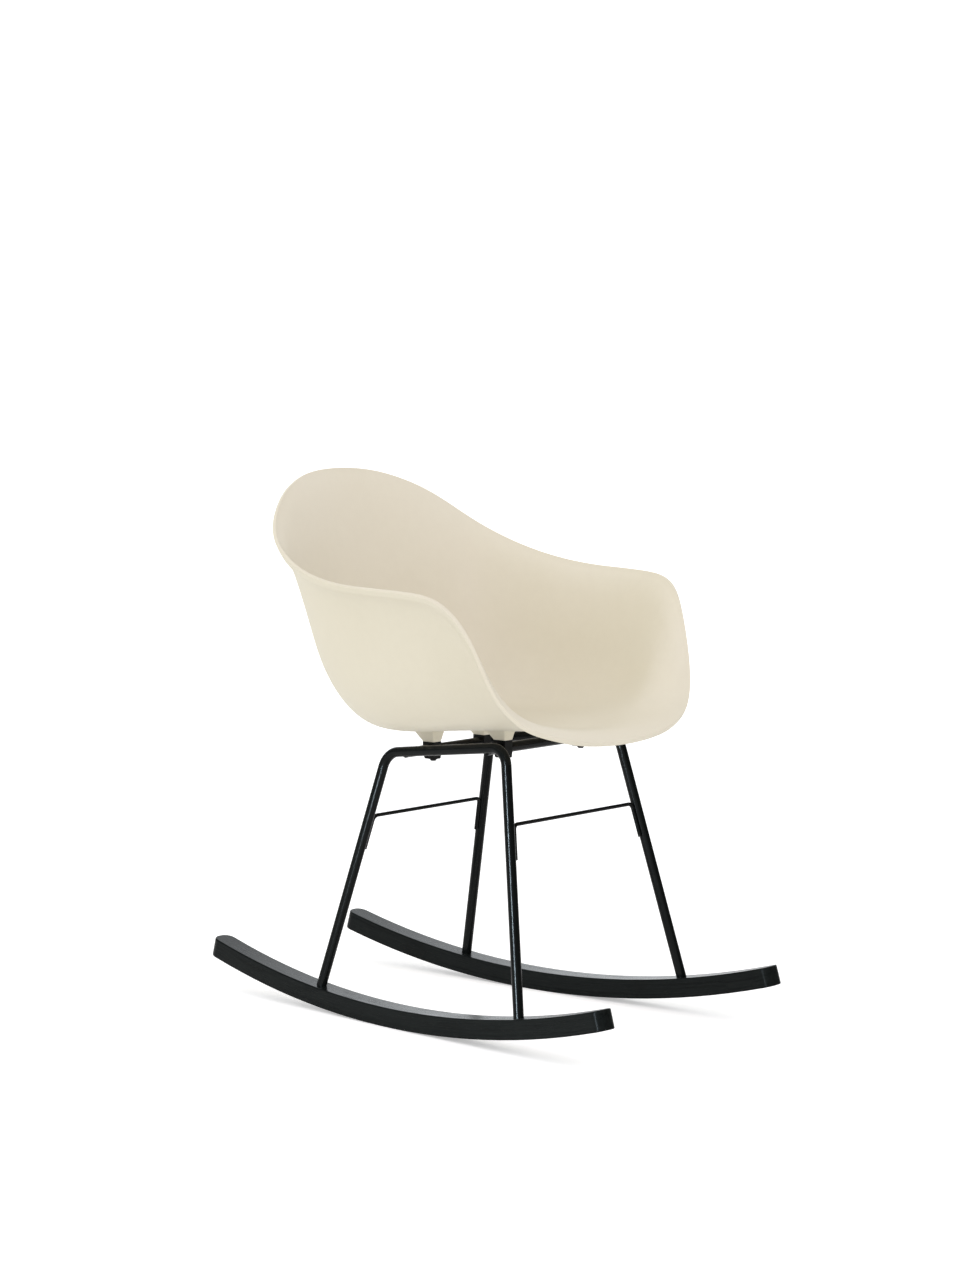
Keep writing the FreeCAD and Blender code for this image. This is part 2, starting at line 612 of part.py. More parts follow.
# ------------------------------------------------------------------ build
def build():
    parts = {}
    mounts = [(sx * REAR_MOUNT_X, REAR_CROSS_Y, REAR_CROSS_Z, REAR_BLOCK_LOW, REAR_BLOCK_TOP, "rear", n)
              for sx, n in ((1, "left"), (-1, "right"))]
    mounts += [(sx * FRONT_MOUNT_X, FRONT_CROSS_Y, FRONT_CROSS_Z, FRONT_BLOCK_LOW, FRONT_BLOCK_TOP, "front", n)
               for sx, n in ((1, "left"), (-1, "right"))]

    shell = shell_solid()
    for x, y, zt, z0, z1, fr, side in mounts:
        shell = shell.fuse(boss(x, y, z1))
    for x, y, zt, z0, z1, fr, side in mounts:
        shell = shell.cut(Part.makeCylinder(INSERT_D / 2 + 0.05, INSERT_H + 0.8, V(x, y, z1 - 0.2), V(0, 0, 1)))
    parts["seat_shell"] = shell

    for fr in ("front", "rear"):
        sel = [m for m in mounts if m[5] == fr]
        parts[fr + "_shell_inserts"] = Part.makeCompound([insert(m[0], m[1], m[4]) for m in sel])
        parts[fr + "_mount_washers"] = Part.makeCompound([washer(m[0], m[1], m[3]) for m in sel])
        parts[fr + "_mount_bolts"] = Part.makeCompound([bolt(m[0], m[1], m[3], m[4] + 10.5) for m in sel])
        for m in sel:
            parts[fr + "_" + m[6] + "_mount_block"] = mount_block(m[0], m[1], m[2], m[3], m[4])

    outers = {}
    for s, name in ((1, "left"), (-1, "right")):
        o = side_frame(s, TUBE_OD / 2)
        outers[name] = o
        parts[name + "_side_frame"] = o.cut(side_frame(s, TUBE_OD / 2 - TUBE_WALL))
        parts[name + "_rocker"] = rocker(s)
        parts[name + "_leg_plugs"] = Part.makeCompound([plug(s, w) for w in ("rear", "front")])
        parts[name + "_rocker_screws"] = Part.makeCompound([rocker_screw(s, w) for w in ("rear", "front")])
    parts["rear_cross_tube"] = cross_tube(REAR_CROSS_Y, REAR_CROSS_Z, outers.values(), (REAR_MOUNT_X, -REAR_MOUNT_X))
    parts["front_cross_tube"] = cross_tube(FRONT_CROSS_Y, FRONT_CROSS_Z, outers.values(), (FRONT_MOUNT_X, -FRONT_MOUNT_X))
    parts["rear_stretcher"] = stretcher("rear", REAR_ROD_Z, REAR_ROD_END_Z)
    parts["front_stretcher"] = stretcher("front", FRONT_ROD_Z, FRONT_ROD_END_Z)
    return parts


os.makedirs("parts", exist_ok=True)
PARTS = build()
for name in sorted(PARTS):
    shape = PARTS[name]
    shape.translate(V(0, MID_SHIFT, 0))
    shape.exportStep("parts/%s.step" % name)
    bb = shape.BoundBox
    print("%-26s solids %d valid %s volume %.1f  x %.1f..%.1f y %.1f..%.1f z %.1f..%.1f" % (
        name, len(shape.Solids), shape.isValid(), shape.Volume,
        bb.XMin, bb.XMax, bb.YMin, bb.YMax, bb.ZMin, bb.ZMax))
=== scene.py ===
import json
import math

import bpy
import bmesh
import numpy as np
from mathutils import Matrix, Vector

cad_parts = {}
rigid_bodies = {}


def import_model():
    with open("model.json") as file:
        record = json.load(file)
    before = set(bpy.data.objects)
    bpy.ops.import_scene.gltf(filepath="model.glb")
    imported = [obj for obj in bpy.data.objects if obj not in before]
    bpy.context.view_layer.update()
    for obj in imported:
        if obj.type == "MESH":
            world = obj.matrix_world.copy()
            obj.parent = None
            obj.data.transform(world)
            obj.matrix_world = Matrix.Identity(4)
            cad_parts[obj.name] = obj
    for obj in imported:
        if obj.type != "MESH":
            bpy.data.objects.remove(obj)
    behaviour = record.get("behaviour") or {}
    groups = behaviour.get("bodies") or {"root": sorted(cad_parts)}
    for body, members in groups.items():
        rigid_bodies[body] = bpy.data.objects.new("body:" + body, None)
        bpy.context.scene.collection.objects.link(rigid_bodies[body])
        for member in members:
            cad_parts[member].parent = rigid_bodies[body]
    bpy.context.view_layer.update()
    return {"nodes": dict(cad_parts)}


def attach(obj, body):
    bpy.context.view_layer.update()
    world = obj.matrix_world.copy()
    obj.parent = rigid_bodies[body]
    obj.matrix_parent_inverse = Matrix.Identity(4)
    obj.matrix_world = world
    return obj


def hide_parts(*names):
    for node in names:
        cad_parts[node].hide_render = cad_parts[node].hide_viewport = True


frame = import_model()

# Moulded rocking armchair. Metres, +Z up, the chair faces -Y, +X is the
# sitter's left. The sizes below are the CAD part's, in millimetres from the
# line on which the rockers touch the floor; put() moves them to the frame.

NODES = frame["nodes"]
MID_SHIFT = 15.1


def put(p):
    """millimetres from the floor contact line -> metres in the part's frame"""
    q = np.asarray(p, float) * 0.001
    q = q + np.array([0.0, MID_SHIFT * 0.001, 0.0])
    return q


# ================================================================ node helpers
class Mat:
    """small wrapper round a node tree"""

    def __init__(self, name):
        self.mat = bpy.data.materials.new(name)
        self.mat.use_nodes = True
        self.nt = self.mat.node_tree
        self.nt.nodes.clear()
        self.out = self.nt.nodes.new("ShaderNodeOutputMaterial")
        self.bsdf = self.nt.nodes.new("ShaderNodeBsdfPrincipled")
        self.nt.links.new(self.bsdf.outputs[0], self.out.inputs["Surface"])

    def node(self, kind, **props):
        n = self.nt.nodes.new(kind)
        for k, v in props.items():
            setattr(n, k, v)
        return n

    def link(self, a, b):
        self.nt.links.new(a, b)

    def val(self, sock, v):
        if hasattr(v, "is_output"):
            self.link(v, sock)
        else:
            sock.default_value = v

    def math(self, op, a, b=None, clamp=False):
        n = self.node("ShaderNodeMath", operation=op, use_clamp=clamp)
        self.val(n.inputs[0], a)
        if b is not None:
            self.val(n.inputs[1], b)
        return n.outputs[0]

    def vmath(self, op, a, b=None):
        n = self.node("ShaderNodeVectorMath", operation=op)
        self.val(n.inputs[0], a)
        if b is not None:
            self.val(n.inputs[1], b)
        return n.outputs[0]

    def coords(self):
        return self.node("ShaderNodeTexCoord").outputs["Object"]

    def scaled(self, vec, s):
        n = self.node("ShaderNodeMapping")
        self.link(vec, n.inputs["Vector"])
        n.inputs["Scale"].default_value = s if hasattr(s, "__len__") else (s, s, s)
        return n.outputs[0]

    def noise(self, vec, scale, detail=2.0, rough=0.5, distort=0.0):
        n = self.node("ShaderNodeTexNoise")
        self.link(vec, n.inputs["Vector"])
        n.inputs["Scale"].default_value = scale
        n.inputs["Detail"].default_value = detail
        n.inputs["Roughness"].default_value = rough
        n.inputs["Distortion"].default_value = distort
        return n.outputs["Fac"]

    def ramp(self, fac, stops, interp="LINEAR"):
        n = self.node("ShaderNodeValToRGB")
        n.color_ramp.interpolation = interp
        els = n.color_ramp.elements
        while len(els) > 1:
            els.remove(els[-1])
        els[0].position, els[0].color = stops[0][0], (*stops[0][1], 1)
        for p, c in stops[1:]:
            e = els.new(p)
            e.color = (*c, 1)
        self.link(fac, n.inputs[0])
        return n.outputs[0]

    def range(self, v, a, b, c, d):
        n = self.node("ShaderNodeMapRange")
        self.link(v, n.inputs["Value"])
        for k, x in zip(("From Min", "From Max", "To Min", "To Max"), (a, b, c, d)):
            n.inputs[k].default_value = x
        return n.outputs[0]

    def mix(self, fac, a, b, blend="MIX"):
        n = self.node("ShaderNodeMix", data_type="RGBA", blend_type=blend)
        self.val(n.inputs[0], fac)
        self.val(n.inputs[6], a)
        self.val(n.inputs[7], b)
        return n.outputs[2]

    def bump(self, height, strength, distance, normal=None):
        n = self.node("ShaderNodeBump")
        n.inputs["Strength"].default_value = strength
        n.inputs["Distance"].default_value = distance
        self.link(height, n.inputs["Height"])
        if normal is not None:
            self.link(normal, n.inputs["Normal"])
        return n.outputs[0]

    def set(self, **kw):
        for k, v in kw.items():
            self.val(self.bsdf.inputs[k.replace("_", " ")], v)


def lin(r, g, b):
    """sRGB 0..255 to linear"""
    def f(c):
        c /= 255.0
        return c / 12.92 if c <= 0.04045 else ((c + 0.055) / 1.055) ** 2.4
    return (f(r), f(g), f(b))


# ================================================================ materials
def shell_plastic():
    m = Mat("shell_plastic")
    co = m.coords()
    # slow cloudiness of the moulding, fine speckle of the pigment
    slow = m.noise(co, 4.0, 2.0, 0.5, 0.4)
    mid = m.noise(co, 70.0, 4.0, 0.6)
    base = m.ramp(m.range(slow, 0.3, 0.7, 0.0, 1.0),
                  [(0.0, (0.712, 0.663, 0.530)), (0.5, (0.722, 0.674, 0.542)), (1.0, (0.730, 0.683, 0.555))])
    speck = m.ramp(m.range(mid, 0.35, 0.65, 0.0, 1.0), [(0.0, (0.988, 0.986, 0.984)), (1.0, (1.0, 1.0, 1.0))])
    base = m.mix(1.0, base, speck, "MULTIPLY")
    # faint rubbing: a little darker and shinier where hands and clothes go
    rub = m.noise(m.scaled(co, (1.0, 1.0, 2.2)), 9.0, 5.0, 0.62, 0.8)
    rubf = m.range(rub, 0.52, 0.78, 0.0, 1.0)
    base = m.mix(m.math("MULTIPLY", rubf, 0.05), base, (0.63, 0.57, 0.45, 1))
    m.set(Base_Color=base)
    grain = m.noise(co, 1500.0, 2.0, 0.6)
    peel = m.noise(co, 240.0, 2.0, 0.5)
    rough = m.math("ADD", m.range(mid, 0.3, 0.7, 0.44, 0.54), m.math("MULTIPLY", rubf, -0.06))
    m.set(Roughness=rough)
    n = m.bump(peel, 0.05, 0.0005)
    n = m.bump(grain, 0.10, 0.0002, n)
    m.set(Normal=n)
    m.bsdf.inputs["IOR"].default_value = 1.48
    m.bsdf.inputs["Specular IOR Level"].default_value = 0.30
    return m.mat


def powder_coat():
    m = Mat("powder_coat")
    co = m.coords()
    slow = m.noise(co, 14.0, 3.0, 0.5)
    base = m.ramp(slow, [(0.25, (0.0014, 0.0015, 0.0013)), (0.75, (0.0024, 0.0026, 0.0023))])
    fine = m.noise(co, 900.0, 2.0, 0.55)
    peel = m.noise(co, 330.0, 2.0, 0.5)
    dust = m.range(m.noise(co, 2400.0, 1.0, 0.5), 0.72, 0.80, 0.0, 1.0)
    base = m.mix(m.math("MULTIPLY", dust, 0.25), base, (0.02, 0.021, 0.022, 1))
    m.set(Base_Color=base, Roughness=m.range(fine, 0.3, 0.7, 0.17, 0.25))
    n = m.bump(peel, 0.10, 0.0004)
    n = m.bump(fine, 0.10, 0.0001, n)
    m.set(Normal=n)
    m.bsdf.inputs["Specular IOR Level"].default_value = 0.11
    return m.mat


def rocker_grain(m, side):
    """coordinates that follow the rocker: along its arc, up its section, across it"""
    toe = 0.0563
    s = side
    co = m.coords()
    sep = m.node("ShaderNodeSeparateXYZ")
    m.link(co, sep.inputs[0])
    x, y, z = sep.outputs
    ox, oy = s * 0.1628, MID_SHIFT * 0.001
    ex, ey = -s * math.sin(toe), math.cos(toe)
    nx, ny = s * math.cos(toe), math.sin(toe)
    dx, dy = m.math("SUBTRACT", x, ox), m.math("SUBTRACT", y, oy)
    u = m.math("ADD", m.math("MULTIPLY", dx, ex), m.math("MULTIPLY", dy, ey))
    w = m.math("ADD", m.math("MULTIPLY", dx, nx), m.math("MULTIPLY", dy, ny))
    h = m.math("SUBTRACT", 1.595, z)
    rad = m.math("SQRT", m.math("ADD", m.math("MULTIPLY", u, u), m.math("MULTIPLY", h, h)))
    ang = m.math("MULTIPLY", m.math("ARCTAN2", u, h), 1.595)
    comb = m.node("ShaderNodeCombineXYZ")
    m.link(ang, comb.inputs[0])
    m.link(w, comb.inputs[1])
    m.link(m.math("SUBTRACT", 1.595, rad), comb.inputs[2])
    return comb.outputs[0]


def stained_wood(side):
    m = Mat("stained_wood_" + ("left" if side > 0 else "right"))
    g = rocker_grain(m, side)
    # long growth rings, warped a little, and short open pores
    warp = m.noise(m.scaled(g, (2.2, 14.0, 14.0)), 3.0, 3.0, 0.5)
    gw = m.node("ShaderNodeVectorMath", operation="ADD")
    m.link(m.scaled(g, (1.0, 1.0, 1.0)), gw.inputs[0])
    off = m.node("ShaderNodeCombineXYZ")
    m.link(m.math("MULTIPLY", m.math("SUBTRACT", warp, 0.5), 0.02), off.inputs[1])
    m.link(m.math("MULTIPLY", m.math("SUBTRACT", warp, 0.5), 0.012), off.inputs[2])
    m.link(off.outputs[0], gw.inputs[1])
    gv = gw.outputs[0]
    rings = m.noise(m.scaled(gv, (1.4, 150.0, 190.0)), 1.0, 4.0, 0.6, 0.3)
    pores = m.noise(m.scaled(gv, (16.0, 900.0, 900.0)), 1.0, 2.0, 0.5)
    fibre = m.noise(m.scaled(gv, (30.0, 2200.0, 2200.0)), 1.0, 2.0, 0.6)
    poref = m.range(pores, 0.60, 0.72, 0.0, 1.0)
    base = m.ramp(rings, [(0.30, (0.0020, 0.0025, 0.0023)), (0.52, (0.0068, 0.0080, 0.0074)),
                          (0.70, (0.0028, 0.0034, 0.0031))])
    base = m.mix(m.math("MULTIPLY", poref, 0.75), base, (0.002, 0.002, 0.002, 1))
    base = m.mix(m.math("MULTIPLY", m.range(fibre, 0.4, 0.7, 0.0, 1.0), 0.30), base, (0.012, 0.013, 0.0125, 1))
    m.set(Base_Color=base)
    rough = m.math("ADD", m.range(rings, 0.3, 0.7, 0.17, 0.27), m.math("MULTIPLY", poref, 0.2))
    m.set(Roughness=rough)
    n = m.bump(rings, 0.14, 0.0005)
    n = m.bump(fibre, 0.14, 0.0002, n)
    inv = m.math("SUBTRACT", 1.0, poref)
    n = m.bump(inv, 0.30, 0.0003, n)
    m.set(Normal=n)
    m.bsdf.inputs["Specular IOR Level"].default_value = 0.07
    return m.mat


def block_plastic():
    m = Mat("block_plastic")
    co = m.coords()
    slow = m.noise(co, 70.0, 3.0, 0.5)
    fine = m.noise(co, 1600.0, 2.0, 0.6)
    m.set(Base_Color=m.ramp(slow, [(0.3, (0.0028, 0.0029, 0.0027)), (0.7, (0.0046, 0.0048, 0.0044))]),
          Roughness=m.range(slow, 0.3, 0.7, 0.42, 0.55), Normal=m.bump(fine, 0.35, 0.0003))
    m.bsdf.inputs["Specular IOR Level"].default_value = 0.12
    return m.mat


def metal(name, c1, c2, rough, metallic, scale=500.0):
    m = Mat(name)
    co = m.coords()
    slow = m.noise(co, 90.0, 3.0, 0.6)
    fine = m.noise(m.scaled(co, (1.0, 1.0, 4.0)), scale, 2.0, 0.6)
    m.set(Base_Color=m.ramp(slow, [(0.3, c1), (0.7, c2)]),
          Roughness=m.range(fine, 0.3, 0.7, rough - 0.06, rough + 0.08), Normal=m.bump(fine, 0.2, 0.0002))
    m.bsdf.inputs["Metallic"].default_value = metallic
    return m.mat


MATS = {
    "shell_plastic": shell_plastic(),
    "powder_coat": powder_coat(),
    "wood_left": stained_wood(1),
    "wood_right": stained_wood(-1),
    "block_plastic": block_plastic(),
    "black_fastener": metal("black_fastener", (0.008, 0.008, 0.009), (0.016, 0.016, 0.017), 0.34, 0.6),
    "plain_steel": metal("plain_steel", (0.50, 0.50, 0.50), (0.62, 0.62, 0.60), 0.32, 1.0),
    "insert_brass": metal("insert_brass", (0.60, 0.42, 0.16), (0.72, 0.52, 0.22), 0.30, 1.0),
}


def dress(node, mat):
    o = NODES[node]
    if not o.material_slots:
        o.data.materials.append(mat)
    for sl in o.material_slots:
        sl.material = mat


for name in NODES:
    if "insert" in name:
        dress(name, MATS["insert_brass"])
    elif name == "left_rocker":
        dress(name, MATS["wood_left"])
    elif name == "right_rocker":
        dress(name, MATS["wood_right"])
    elif "block" in name:
        dress(name, MATS["block_plastic"])
    elif "washers" in name or "bolts" in name:
        dress(name, MATS["black_fastener"])
    elif "plugs" in name or "screws" in name:
        dress(name, MATS["plain_steel"])
    elif name != "seat_shell":
        dress(name, MATS["powder_coat"])

# ================================================================ shell surface
SHELL_T = 5.5
HALF = 32
NCOL = 2 * HALF
RIM_CTRL = np.array([(0.0, 291.3, 849.8), (54.5, 291.3, 849.8), (123.3, 273.5, 835.0),
                     (185.8, 243.1, 803.3), (235.2, 207.9, 759.1), (267.6, 154.1, 726.4),
                     (289.3, 84.6, 702.2), (299.7, 7.8, 689.3), (299.4, -66.0, 687.0),
                     (292.6, -129.1, 684.4), (281.5, -176.0, 679.3), (267.3, -206.6, 650.1),
                     (253.2, -228.9, 598.7), (238.1, -250.9, 536.1), (204.2, -274.6, 486.7),
                     (150.6, -299.2, 468.0), (76.3, -308.1, 454.4), (0.0, -308.1, 454.4)])
PAN_Y, PAN_Z, PAN_EXP = -38.55, 456.90, 0.85
PAN_W, PAN_REAR, PAN_FRONT = 205.8, 182.35, 186.45
RISE_REAR, RISE_SIDE, RISE_FRONT = 26.66, 7.73, 3.40
RISE_SKEW, PAN_ROW2 = 20.05, 0.629
BULGE4_REAR, BULGE4_SIDE, BULGE5_REAR, BULGE5_SIDE = 17.67, 21.89, -0.11, -0.02
LIP_RISE = 10.0
WALL4, WALL5 = 0.986, 0.843            # where rows 4 and 5 lie between their neighbours
FLARE5, FLARE6, FLARE_W, FLARE_FRONT = 2.73, 10.85, -18.0, 0.35
LIP_AT = [0, 5, 9, 13, 17, 20, 23, 26, 29, 32]
LIP_OUT = [3.47, 3.48, 1.72, 3.47, 3.80, 3.68, 1.27, 3.66, 4.39, 5.34]
LIP_IN = [-2.13, -2.32, -4.48, -4.03, -4.40, -3.82, -4.83, -2.64, -3.21, -2.86]
LIP_ALONG = [-1.66, -2.16, -2.78, -2.28, -2.37, -3.45, -2.31, -2.67, -4.80, -0.52]
K7 = np.array([0.0] * 4 + [0.25, 0.5, 0.75] + [1.0] * 4)
K8 = np.array([0.0] * 4 + [0.25, 0.5, 0.75, 0.92] + [1.0] * 4)


def bspline(knots, n, p, xs):
    """rows: the n basis functions of degree p at each x"""
    knots = np.asarray(knots, float)
    xs = np.atleast_1d(np.asarray(xs, float))
    m = len(knots) - 1
    b = np.zeros((len(xs), m))
    last = max(i for i in range(m) if knots[i] < knots[i + 1])
    for i in range(m):
        b[:, i] = (knots[i] <= xs) & (xs < knots[i + 1])
    b[xs >= knots[-1], last] = 1.0
    for d in range(1, p + 1):
        for i in range(m - d):
            a, c = knots[i + d] - knots[i], knots[i + d + 1] - knots[i + 1]
            v = np.zeros(len(xs))
            if a > 0:
                v += (xs - knots[i]) / a * b[:, i]
            if c > 0:
                v += (knots[i + d + 1] - xs) / c * b[:, i + 1]
            b[:, i] = v
    return b[:, :n]


def periodic(cols, n=NCOL):
    cols = np.atleast_1d(np.asarray(cols, float))
    i = np.floor(cols).astype(int)
    t = cols - i
    w = [(1 - t) ** 3 / 6, (3 * t ** 3 - 6 * t ** 2 + 4) / 6,
         (-3 * t ** 3 + 3 * t ** 2 + 3 * t + 1) / 6, t ** 3 / 6]
    b = np.zeros((len(cols), n))
    for k in range(4):
        np.add.at(b, (np.arange(len(cols)), (i - 1 + k) % n), w[k])
    return b


def solve_cyclic(points):
    c = points.copy()
    for _ in range(80):
        c = (6 * points - np.roll(c, 1, 0) - np.roll(c, -1, 0)) / 4
    return c


def unit(v):
    return v / np.maximum(np.linalg.norm(v, axis=-1, keepdims=True), 1e-12)


def spow(v, e):
    return float(np.sign(v) * np.abs(v) ** e)


def base_net():
    """seven rows of control points from the middle of the seat to the rim"""
    n = len(RIM_CTRL)
    knots = [0.0] * 3 + [i / (n - 3.0) for i in range(n - 2)] + [1.0] * 3
    rim = bspline(knots, n, 3, np.arange(HALF + 1) / HALF) @ RIM_CTRL
    o = np.array([0.0, PAN_Y, PAN_Z])
    rows, flare = [], []
    for i in range(HALF + 1):
        th = math.pi * i / HALF
        sx = spow(max(math.sin(th), 0.0), PAN_EXP)
        cy = spow(math.cos(th), PAN_EXP) if abs(math.cos(th)) > 1e-12 else 0.0
        length = PAN_REAR if cy > 0 else PAN_FRONT
        rear, front = max(cy, 0.0), max(-cy, 0.0)
        f = np.array([PAN_W * sx, PAN_Y + length * cy,
                      PAN_Z + RISE_REAR * rear ** 2 + RISE_SIDE * sx ** 2 + RISE_FRONT * front ** 2
                      - RISE_SKEW * sx * cy])
        d = rim[i] - f
        nb = unit(np.array([f[0] / PAN_W ** 2, (f[1] - PAN_Y) / length ** 2, 0.0]))
        wall = min(max(d[2] / 250.0, 0.0), 1.4)
        b4 = (BULGE4_REAR * rear ** 2 + BULGE4_SIDE * sx ** 2) * wall
        b5 = (BULGE5_REAR * rear ** 2 + BULGE5_SIDE * sx ** 2) * wall
        p1, p2 = o + (f - o) * 0.30, o + (f - o) * 0.66
        p4, p5 = f + d * 0.30 + nb * b4, f + d * 0.68 + nb * b5
        row = np.array([o, (p1[0], p1[1], PAN_Z), (p2[0], p2[1], PAN_Z + (f[2] - PAN_Z) * PAN_ROW2), f,
                        (p4[0], p4[1], p4[2] + LIP_RISE * 0.6 * front ** 2),
                        (p5[0], p5[1], p5[2] + LIP_RISE * front ** 2), rim[i]])
        if i in (0, HALF):
            row[:, 0] = 0.0
        rows.append(row)
        flare.append(1.0 - (1.0 - FLARE_FRONT) * front ** 2)
    mirror = [rows[i] * np.array([-1.0, 1.0, 1.0]) for i in range(HALF - 1, 0, -1)]
    net = np.array(rows + mirror)
    net[:, 6] = solve_cyclic(net[:, 6])
    return net, np.array(flare + [flare[i] for i in range(HALF - 1, 0, -1)])


def grid(net, knots, cols, rs):
    """points of a net, columns x rings"""
    return np.einsum("ci,rj,ijk->crk", periodic(cols), bspline(knots, net.shape[1], 3, rs), net)


def frames(net, knots, cols, r):
    """outward normal and direction to the rim at one ring"""
    cols = np.asarray(cols, float)
    if r < 0.02:
        return np.tile([0.0, 0.0, -1.0], (len(cols), 1)), None
    r0, r1 = max(r - 0.004, 0.0), min(r + 0.004, 1.0)
    dw = grid(net, knots, cols, [r1])[:, 0] - grid(net, knots, cols, [r0])[:, 0]
    dc = grid(net, knots, cols + 0.02, [r])[:, 0] - grid(net, knots, cols - 0.02, [r])[:, 0]
    return unit(np.cross(dw, dc)), unit(dw)


ALL = np.arange(NCOL, dtype=float)
BASE, FLARE = base_net()
RIM_LINE = grid(BASE, K7, ALL, [1.0])[:, 0]
RIM_N, RIM_W = frames(BASE, K7, ALL, 1.0)
if frames(BASE, K7, [HALF / 2.0], 0.3)[0][0, 2] > 0:
    raise RuntimeError("normals of the shell point inwards")


def station(values):
    """value in every column, blended between the stations of the lip"""
    out = []
    for c in range(NCOL):
        i = min(c, NCOL - c)
        k = max(j for j in range(len(LIP_AT) - 1) if i >= LIP_AT[j])
        t = min((i - LIP_AT[k]) / (LIP_AT[k + 1] - LIP_AT[k]), 1.0)
        t = t * t * (3 - 2 * t)
        out.append(values[k] + (values[k + 1] - values[k]) * t)
    return np.array(out)[:, None]


def lip_profile():
    """section of the lip in every column: (across the wall, along it)"""
    a, o = station(LIP_IN), station(LIP_OUT)
    w = a + SHELL_T + 0.15
    h = o - w
    return [(a, 1.0), (a, 2.6), (a + 0.1, 4.3), (a + 1.7, 4.7), ((a + o) / 2, 4.8), (o - 1.9, 4.7), (o - 0.3, 4.3),
            (o, 2.6), (o - 0.02 * h, -1.0), (o - 0.05 * h, -3.8), (w + 0.824 * h, -5.3), (w + 0.407 * h, -6.0),
            (w + 0.077 * h, -6.9), (w, -8.8)]


LIP = lip_profile()
ALONG = station(LIP_ALONG)


def rim_row(end):
    return solve_cyclic(RIM_LINE + RIM_N * end[0] + RIM_W * (end[1] + ALONG))


def wall_net():
    """eight rows of the middle surface, which flares towards the rim"""
    f = FLARE[:, None]
    mid = LIP[0][0] + SHELL_T / 2
    net = np.zeros((NCOL, 8, 3))
    net[:, :4] = BASE[:, :4]
    net[:, 4] = BASE[:, 3] + (BASE[:, 4] - BASE[:, 3]) * WALL4
    net[:, 5] = BASE[:, 4] + (BASE[:, 5] - BASE[:, 4]) * WALL5 - RIM_N * FLARE5 * f
    net[:, 6] = RIM_LINE + RIM_W * (FLARE_W + ALONG) + RIM_N * (mid + 2.35 - FLARE6 * f)
    net[:, 7] = rim_row((mid, -3.0))
    return net


MIDDLE = wall_net()
GREV = [K8[j + 1:j + 4].sum() / 3.0 for j in range(8)]


def offset_net(dist, end):
    net = MIDDLE.copy()
    for j in range(7):
        net[:, j] = MIDDLE[:, j] + frames(MIDDLE, K8, ALL, GREV[j] if j else 0.0)[0] * dist
    net[:, 7] = rim_row(end)
    return net


INNER = offset_net(-SHELL_T / 2, LIP[0])
OUTER = offset_net(SHELL_T / 2, LIP[-1])
RIM_NET = np.array([rim_row(e) for e in LIP]).transpose(1, 0, 2)


def shell_rings(cols, k_in, k_rim, k_out):
    """rings of points from the middle of the seat's upper face over the rim to its underside"""
    m = len(LIP)
    rk = [0.0] * 4 + [i / (m - 3.0) for i in range(1, m - 3)] + [1.0] * 4
    return np.concatenate([grid(INNER, K8, cols, k_in), grid(RIM_NET, rk, cols, k_rim),
                           grid(OUTER, K8, cols, k_out)], axis=1)


def under(xy):
    """height of the shell's underside over points of the seat pan"""
    xy = np.atleast_2d(np.asarray(xy, float))
    cg, rg = np.arange(0, NCOL, 0.5), np.linspace(0.04, 0.8, 60)
    pts = grid(OUTER, K8, cg, rg)
    c, r = np.zeros(len(xy)), np.zeros(len(xy))
    for k, q in enumerate(xy):
        d = ((pts[..., :2] - q) ** 2).sum(-1)
        i, j = np.unravel_index(np.argmin(d), d.shape)
        c[k], r[k] = cg[i], rg[j]

    def at(c, r):
        return np.einsum("ki,kj,ijx->kx", periodic(c), bspline(K8, 8, 3, r), OUTER)

    for _ in range(10):
        p = at(c, r)
        pc = (at(c + 0.01, r) - at(c - 0.01, r)) / 0.02
        pr = (at(c, r + 0.001) - at(c, r - 0.001)) / 0.002
        a, b, e, f = pc[:, 0], pr[:, 0], pc[:, 1], pr[:, 1]
        det = a * f - b * e
        dx, dy = xy[:, 0] - p[:, 0], xy[:, 1] - p[:, 1]
        c = c + (dx * f - b * dy) / det
        r = np.clip(r + (a * dy - e * dx) / det, 0.02, 0.95)
    return at(c, r)[:, 2]


def mesh_object(name, verts, faces, mat=None, smooth=True):
    me = bpy.data.meshes.new(name)
    me.from_pydata([tuple(v) for v in verts], [], [tuple(int(i) for i in f) for f in faces])
    me.validate()
    me.update()
    if smooth:
        me.polygons.foreach_set("use_smooth", [True] * len(me.polygons))
    ob = bpy.data.objects.new(name, me)
    bpy.context.scene.collection.objects.link(ob)
    if mat is not None:
        me.materials.append(mat)
    return ob


def fix_normals(ob):
    bm = bmesh.new()
    bm.from_mesh(ob.data)
    bmesh.ops.recalc_face_normals(bm, faces=bm.faces)
    if bm.calc_volume(signed=True) < 0:
        bmesh.ops.reverse_faces(bm, faces=bm.faces)
    bm.to_mesh(ob.data)
    bm.free()


def loops_mesh(name, loops, mat=None, caps=(True, True)):
    """closed body from rings of points with the same count, one after the other"""
    n = len(loops[0])
    verts = np.concatenate(loops)
    faces = []
    for r in range(len(loops) - 1):
        for c in range(n):
            d = (c + 1) % n
            faces.append((r * n + c, r * n + d, (r + 1) * n + d, (r + 1) * n + c))
    if caps[0]:
        faces.append(tuple(range(n - 1, -1, -1)))
    if caps[1]:
        faces.append(tuple(range((len(loops) - 1) * n, len(loops) * n)))
    ob = mesh_object(name, verts, faces, mat)
    fix_normals(ob)
    return ob


